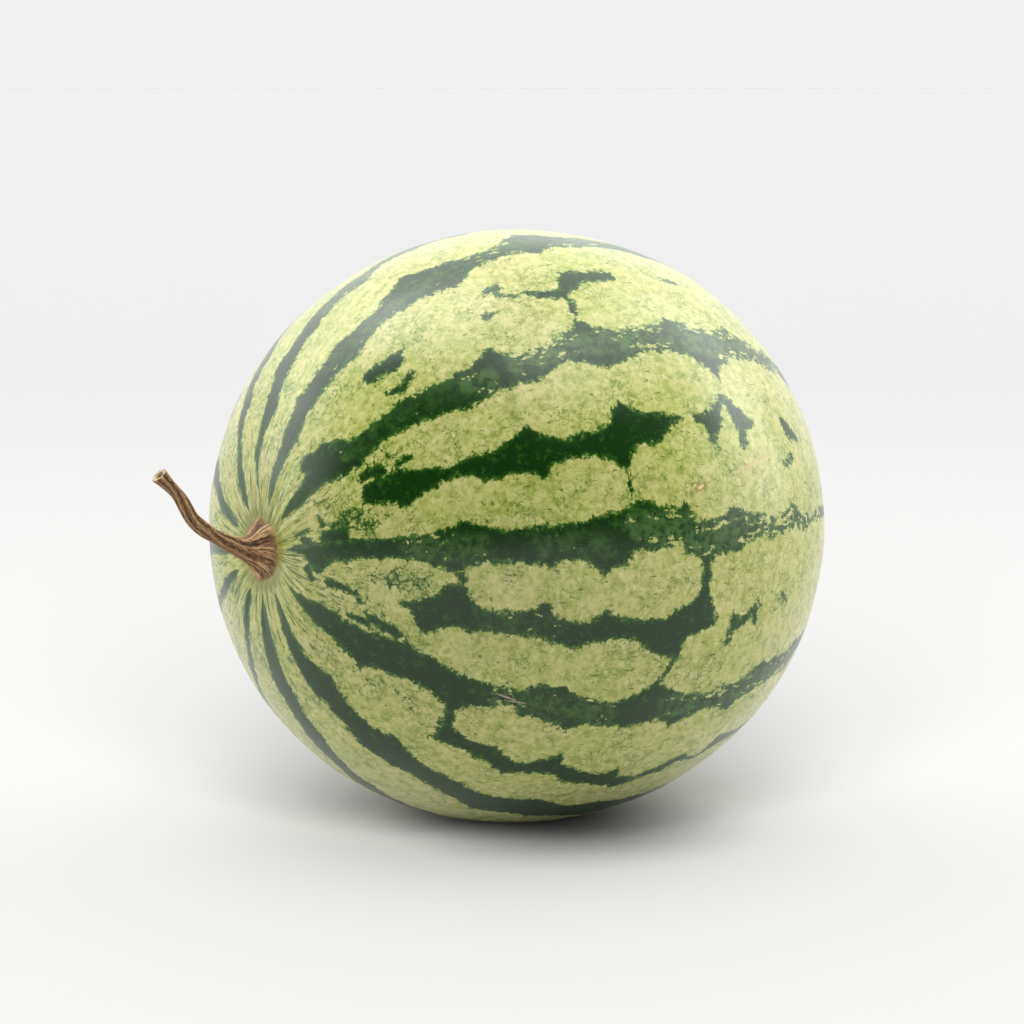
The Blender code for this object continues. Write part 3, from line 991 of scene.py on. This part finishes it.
def stem_material():
    """Dried stem: tan ribs, dark grooves, grey-brown fibres and a pale cut end."""
    material, wire, shader = new_material("dried_stem")
    grain = wire.vector("grain")
    rib = wire.number("rib")
    run = wire.number("run")
    cut = wire.number("cut")
    fibre = wire.noise(wire.scale(grain, (16.0, 16.0, 1.7)), 1.0, detail=7.0, roughness=0.70)
    blotch = wire.noise(grain, 0.9, detail=3.0, roughness=0.6)
    tone = wire.math("ADD", wire.math("MULTIPLY", rib, 0.10), fibre)
    colour = wire.blend(wire.step(tone, 0.42, 0.51), paint(46, 27, 13), paint(150, 108, 66))
    colour = wire.blend(wire.step(tone, 0.52, 0.61), colour, paint(214, 178, 126))
    warm = wire.step(blotch, 0.45, 0.65)
    colour = wire.wash(colour, warm, 0.4, paint(122, 84, 48))
    rim = wire.step(wire.math("ADD", run, wire.math("MULTIPLY", fibre, 0.004)), 0.0042, 0.0016)
    colour = wire.wash(colour, rim, 0.7, paint(148, 134, 78))
    colour = wire.blend(cut, colour, paint(206, 190, 150))
    wire.join(colour, shader.inputs["Base Color"])
    shader.inputs["Roughness"].default_value = 0.72
    wire.relief(fibre, 0.9, 0.0004, shader)
    return material


# The paper is painted brighter near the fruit than far off, as a painted pool of light.
FLOOR_NEAR = paint(159, 159, 158)
FLOOR_FAR = paint(149, 149, 149)
FLOOR_TOOTH = paint(140, 140, 140)
CONTACT_SHADE = paint(20, 20, 20)
CONTACT_CENTRE = (0.0, -0.035, 0.0)
CONTACT_REACH = 0.085


def floor_material():
    """Matt white paper with a faint tooth, painted a little darker far off: a painted falloff of
    the light round the fruit.

    Its colour is darkened right under the fruit, to deepen the contact shadow.
    """
    material, wire, shader = new_material("pale_floor")
    place = wire.add("ShaderNodeTexCoord").outputs["Object"]
    reach = wire.add("ShaderNodeVectorMath", operation="LENGTH")
    wire.join(place, reach.inputs[0])
    # Painted light: the paper's colour is brighter near the fruit and darker far off.
    far = wire.step(reach.outputs["Value"], 0.3, 2.2)
    colour = wire.blend(far, FLOOR_NEAR, FLOOR_FAR)
    colour = wire.wash(colour, wire.noise(place, 900.0, detail=2.0), 0.06, FLOOR_TOOTH)
    beside = wire.add("ShaderNodeVectorMath", operation="DISTANCE")
    wire.join(place, beside.inputs[0])
    wire.join(CONTACT_CENTRE, beside.inputs[1])
    shade = wire.step(beside.outputs["Value"], CONTACT_REACH, 0.0)
    colour = wire.wash(colour, shade, 0.85, CONTACT_SHADE)
    wire.join(colour, shader.inputs["Base Color"])
    shader.inputs["Roughness"].default_value = 0.9
    shader.inputs["Specular IOR Level"].default_value = 0.1
    return material


# ---------------------------------------------------------------- floor, light and camera

FLOOR_HALF = 200.0
FLOOR_DROP = 0.0003
CAMERA_ROUND = -36.2
CAMERA_CLIMB = 7.33
CAMERA_DISTANCE = 1.40
CAMERA_LENS = 120.8
SENSOR_WIDTH = 36.0
AIM_RIGHT = -0.0022
AIM_UP = 0.0058


def build_floor():
    """A wide flat square under the fruit."""
    edge = np.array([[-1.0, -1.0], [1.0, -1.0], [1.0, 1.0], [-1.0, 1.0]]) * FLOOR_HALF
    corners = np.column_stack([edge, np.full(4, -FLOOR_DROP)])
    mesh = bpy.data.meshes.new("floor")
    mesh.from_pydata(corners.tolist(), [], [(0, 1, 2, 3)])
    piece = bpy.data.objects.new("floor", mesh)
    bpy.context.scene.collection.objects.link(piece)
    return piece


def grey(level):
    """A neutral linear colour."""
    return level, level, level, 1.0


DIM_FRONT = grey(0.05)
LOW_WALL = grey(1.15)
HIGH_WALL = grey(1.8)
PAPER_LOW = grey(0.875)
PAPER_HIGH = (0.87, 0.87, 0.875, 1.0)


def build_world():
    """A pale studio behind the fruit and overhead, and dark towards the camera.

    The camera itself sees only white paper.
    """
    world = bpy.data.worlds.new("studio")
    bpy.context.scene.world = world
    world.use_nodes = True
    wire = Wiring(world.node_tree)
    glow = world.node_tree.nodes["Background"]
    way = wire.add("ShaderNodeTexCoord").outputs["Generated"]
    split = wire.add("ShaderNodeSeparateXYZ")
    wire.join(way, split.inputs[0])
    front = wire.add("ShaderNodeVectorMath", operation="DOT_PRODUCT")
    wire.join(way, front.inputs[0])
    turn = np.radians(CAMERA_ROUND)
    front.inputs[1].default_value = (np.sin(turn), -np.cos(turn), 0.0)
    back = wire.step(front.outputs["Value"], 0.35, -0.45)
    wall = wire.blend(wire.step(split.outputs["Z"], 0.15, 0.4), LOW_WALL, HIGH_WALL)
    dome = wire.blend(back, DIM_FRONT, wall)
    dome = wire.blend(wire.step(split.outputs["Z"], 0.80, 1.0), dome, HIGH_WALL)
    paper = wire.blend(wire.step(split.outputs["Z"], -0.10, 0.10), PAPER_LOW, PAPER_HIGH)
    seen = wire.add("ShaderNodeLightPath").outputs["Is Camera Ray"]
    wire.join(wire.blend(seen, dome, paper), glow.inputs["Color"])


# Lamps: name, degrees round from the camera's side, degrees up, width in degrees and strength.
AROUND_FRUIT = (
    ("overhead_right", 60, 66, 38, 0.74),
    ("overhead_left", -120, 66, 40, 0.90),
    ("back_right", 120, 42, 39, 0.72),
    ("back_left", -120, 42, 39, 0.42),
    ("left", -95, 14, 44, 0.65),
    ("right", 100, 12, 44, 0.85),
)
SOFT_FILL = (
    ("front_low", 35, 4, 50, 0.31),
    ("front_high", -20, 62, 50, 0.72),
)
FLOOR_LAMPS = (
    ("floor_front", 0, 26, 50, 10.2),
    ("floor_back", 180, 30, 60, 0.5),
    ("floor_top", 0, 76, 60, 0.7),
)


def add_softbox(name, round_from_camera, climb, width, strength):
    """A far round softbox: a sun of this width in degrees, placed round from the camera's side."""
    light = bpy.data.lights.new(name, "SUN")
    light.angle = np.radians(width)
    light.energy = strength
    lamp = bpy.data.objects.new(name, light)
    turn, rise = np.radians(CAMERA_ROUND + round_from_camera), np.radians(climb)
    way = Vector((np.sin(turn) * np.cos(rise), -np.cos(turn) * np.cos(rise), np.sin(rise)))
    lamp.rotation_euler = way.to_track_quat("Z", "Y").to_euler()
    bpy.context.scene.collection.objects.link(lamp)
    return lamp


def light_only(lamps, name, pieces):
    """Makes these lamps light these pieces and nothing else."""
    lit = bpy.data.collections.new(name)
    for piece in pieces:
        lit.objects.link(piece)
    for lamp in lamps:
        lamp.light_linking.receiver_collection = lit


def add_camera():
    """A long lens, a little above the fruit and turned towards its stem end."""
    turn, climb = np.radians(CAMERA_ROUND), np.radians(CAMERA_CLIMB)
    back = Vector((np.sin(turn) * np.cos(climb), -np.cos(turn) * np.cos(climb), np.sin(climb)))
    right = Vector((np.cos(turn), np.sin(turn), 0.0))
    up = back.cross(right)
    centre = Vector((0.0, 0.0, AXIS_HEIGHT))
    lens = bpy.data.cameras.new("camera")
    lens.lens = CAMERA_LENS
    lens.sensor_width = SENSOR_WIDTH
    camera = bpy.data.objects.new("camera", lens)
    camera.location = centre + CAMERA_DISTANCE * back
    aim = centre + AIM_RIGHT * right + AIM_UP * up
    camera.rotation_euler = (camera.location - aim).to_track_quat("Z", "Y").to_euler()
    bpy.context.scene.collection.objects.link(camera)
    bpy.context.scene.camera = camera


rind = build_rind()
rind.data.materials.append(rind_material())
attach(rind, "root")
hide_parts("melon")

stem = build_stem()
stem.data.materials.append(stem_material())
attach(stem, "root")
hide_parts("stem")

floor = build_floor()
floor.data.materials.append(floor_material())

build_world()
around_fruit = [add_softbox(*lamp) for lamp in AROUND_FRUIT]
soft_fill = [add_softbox(*lamp) for lamp in SOFT_FILL]
for lamp in soft_fill:
    lamp.visible_glossy = False
light_only(around_fruit + soft_fill, "fruit_lit", [rind, stem])
floor_lamps = [add_softbox(*lamp) for lamp in FLOOR_LAMPS]
light_only(floor_lamps, "floor_lit", [floor])
add_camera()
bpy.context.scene.view_settings.view_transform = "Standard"
